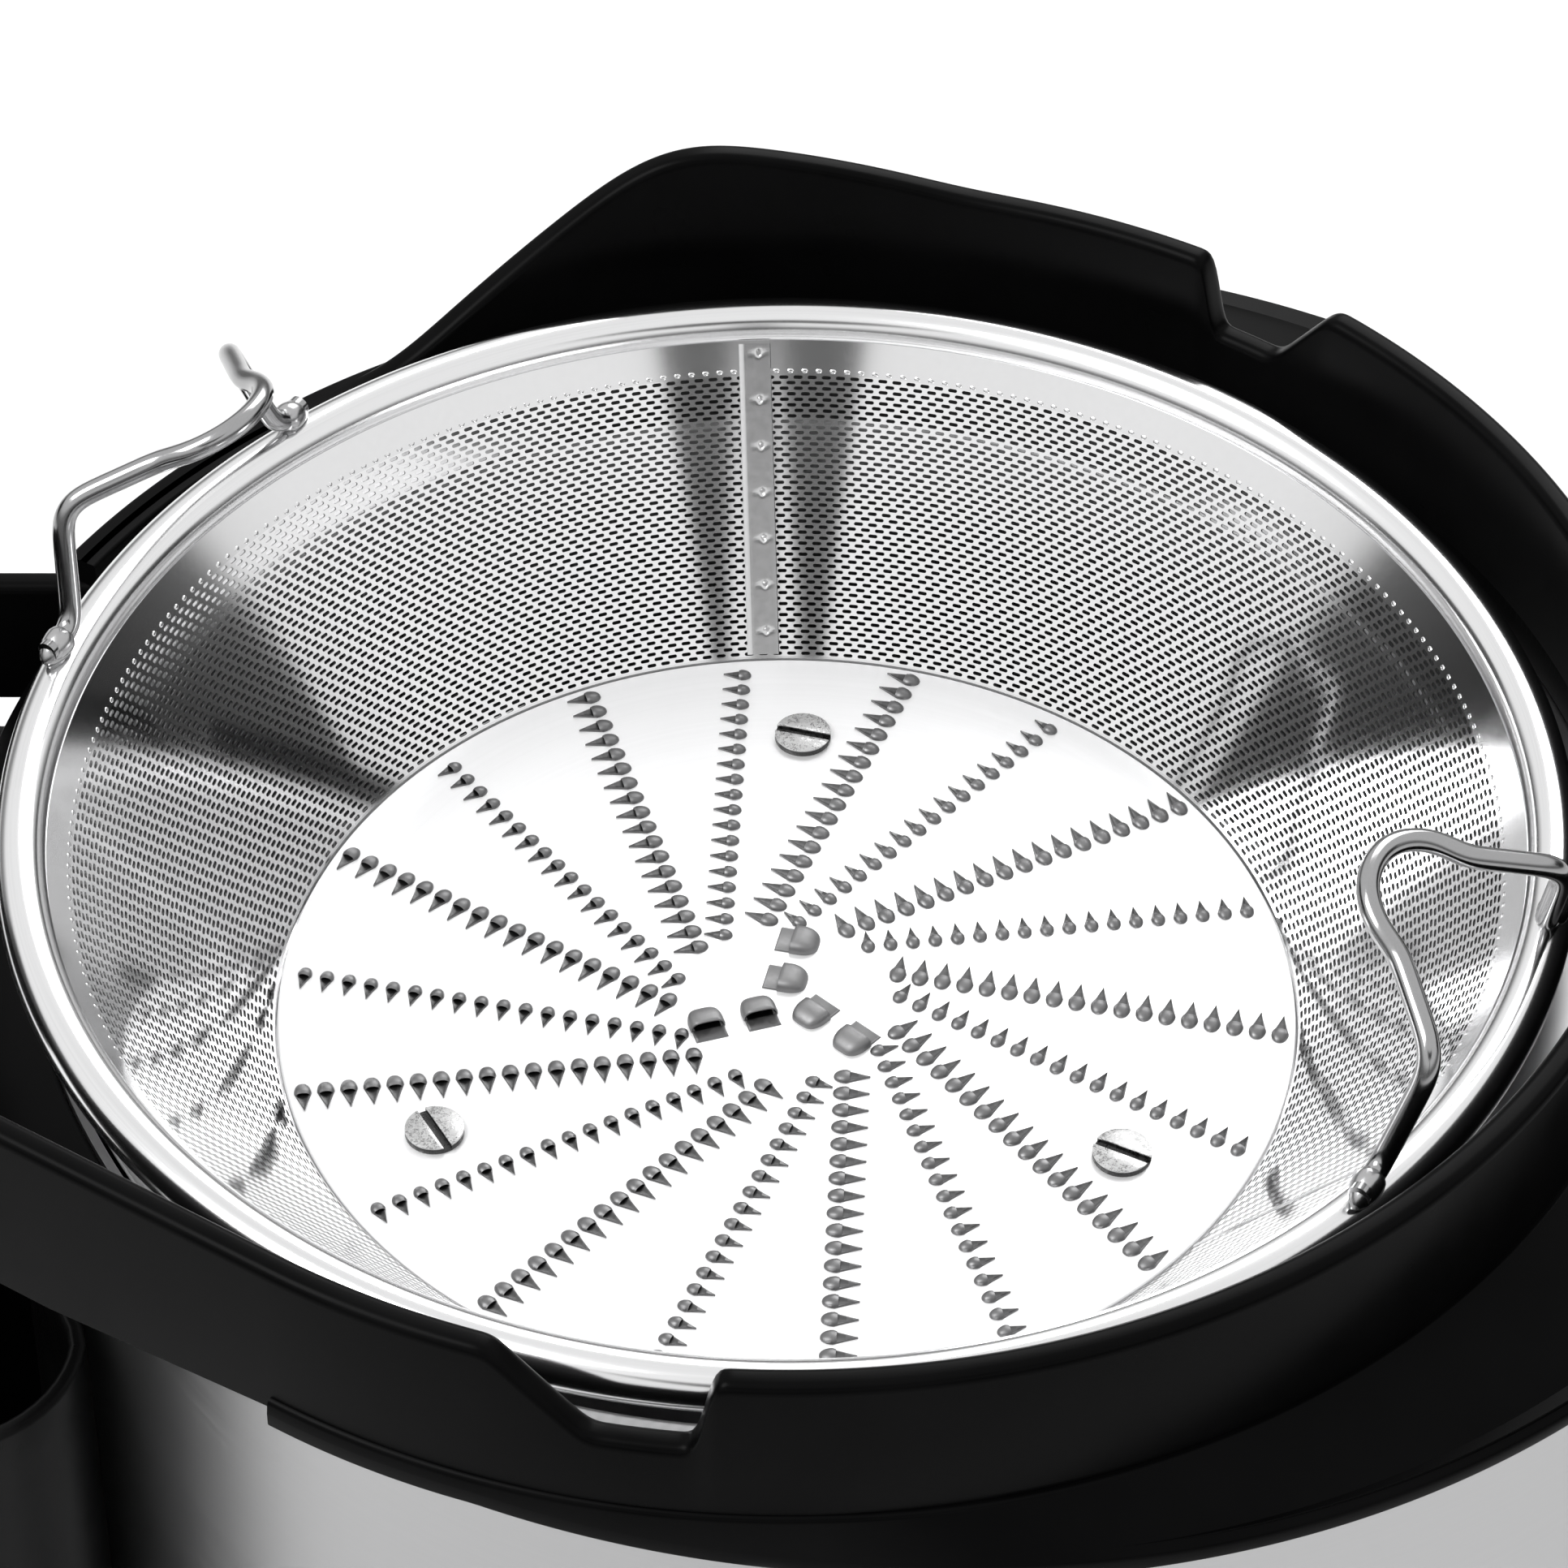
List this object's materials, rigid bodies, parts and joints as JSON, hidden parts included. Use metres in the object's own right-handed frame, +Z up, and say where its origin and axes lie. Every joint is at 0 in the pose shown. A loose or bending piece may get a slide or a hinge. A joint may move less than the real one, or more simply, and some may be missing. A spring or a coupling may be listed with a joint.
{
  "type": "centrifugal juice extractor",
  "caption": "Professional centrifugal juice extractor with an open sieve basket and grater disc, black collar, pulp chute and bin, juice spout and brushed steel housing.",
  "frame": {"origin": "centre of the footprint, on the surface that the rubber feet stand on", "axes": "+Z up, -Y towards the operator (juice spout and buttons), +X to the right, away from the pulp bin"},
  "size_m": [0.3454, 0.3106, 0.3317],
  "materials": {
    "polished_disc": "fine turned, near mirror",
    "tooth_steel": "punched edges, satin",
    "screw_steel": "machined, grainy",
    "basket_steel": "bright rolled sheet",
    "sieve_steel": "perforated sheet, bright",
    "rim_steel": "polished rolled bead",
    "wire_steel": "satin drawn wire",
    "machined_steel": "turned",
    "bearing_steel": "ground",
    "lamination_steel": "stacked sheet, varnished",
    "copper_wire": "enamelled wire",
    "cast_aluminium": "die cast, fine grain",
    "brushed_housing": "brushed around the axis",
    "satin_black_plastic": "satin moulded",
    "bin_black_plastic": "fine moulded grain",
    "base_black_plastic": "fine moulded grain",
    "black_rubber": "matt",
    "grey_plastic": "moulded",
    "white_plastic": "moulded",
    "ivory_plastic": "moulded",
    "green_plastic": "moulded",
    "red_plastic": "moulded"
  },
  "bodies": {
    "frame": {"outer_races": "bearing_steel", "shaft_seal": "black_rubber", "motor_stator": "lamination_steel", "stator_windings": "copper_wire", "motor_casing": "cast_aluminium", "motor_end_bell": "cast_aluminium", "motor_screws": "screw_steel", "deck_plate": "cast_aluminium", "tie_rods": "machined_steel", "tie_rod_nuts": "screw_steel", "bowl_gasket": "black_rubber", "juice_bowl": "basket_steel", "bowl_floor": "basket_steel", "bowl_sleeve": "basket_steel", "juice_spout": "basket_steel", "spout_grommet": "black_rubber", "collar": "satin_black_plastic", "collar_wall": "satin_black_plastic", "pulp_chute": "satin_black_plastic", "collar_screws": "screw_steel", "outer_housing": "brushed_housing", "base_pan": "base_black_plastic", "foot_1": "black_rubber", "foot_2": "black_rubber", "foot_3": "black_rubber", "foot_4": "black_rubber", "foot_5": "black_rubber", "foot_6": "black_rubber", "switch_bezel": "base_black_plastic", "contact_blocks": "grey_plastic", "run_capacitor": "white_plastic", "capacitor_clip": "screw_steel", "terminal_block": "ivory_plastic", "cable_gland": "base_black_plastic"},
    "spindle": {"drive_shaft": "machined_steel", "drive_pin": "machined_steel", "inner_races": "bearing_steel", "bearing_balls": "bearing_steel", "motor_rotor": "lamination_steel", "cooling_fan": "grey_plastic"},
    "basket": {"grater_disc": "polished_disc", "grater_teeth": "tooth_steel", "coring_cutters": "tooth_steel", "disc_screws": "screw_steel", "disc_nuts": "screw_steel", "basket_floor": "basket_steel", "basket_hub": "cast_aluminium", "hub_rivets": "screw_steel", "sieve_wall": "sieve_steel", "seam_strip": "basket_steel", "basket_rim": "rim_steel", "handle_lugs": "wire_steel"},
    "handle_left": {"handle_left": "wire_steel"},
    "handle_right": {"handle_right": "wire_steel"},
    "pulp_bin": {"pulp_bin": "bin_black_plastic"},
    "start_button": {"start_button": "green_plastic"},
    "stop_button": {"stop_button": "red_plastic"}
  },
  "joints": [
    {"name": "spindle_spin", "type": "hinge", "parent": "frame", "child": "spindle", "pos_m": [0.02425, 0.00785, 0.262], "axis": [0, 0, 1], "continuous": true},
    {"name": "basket_lift", "type": "slide", "parent": "spindle", "child": "basket", "axis": [0, 0, 1], "range_m": [0, 0.12]},
    {"name": "handle_right_hinge", "type": "hinge", "parent": "basket", "child": "handle_right", "pos_m": [0.10998, -0.04065, 0.3041], "axis": [-0.4924, -0.8704, 0], "range_deg": [-15, 95]},
    {"name": "handle_left_hinge", "type": "hinge", "parent": "basket", "child": "handle_left", "pos_m": [-0.06018, 0.05858, 0.3041], "axis": [0.515, 0.8572, 0], "range_deg": [-15, 95]},
    {"name": "bin_slide", "type": "slide", "parent": "frame", "child": "pulp_bin", "axis": [-1, 0, 0], "range_m": [0, 0.14]},
    {"name": "start_press", "type": "slide", "parent": "frame", "child": "start_button", "axis": [0, 1, 0], "range_m": [0, 0.003], "stiffness_N_per_m": 400, "springref_m": -0.002},
    {"name": "stop_press", "type": "slide", "parent": "frame", "child": "stop_button", "axis": [0, 1, 0], "range_m": [0, 0.003], "stiffness_N_per_m": 400, "springref_m": -0.002}
  ]
}
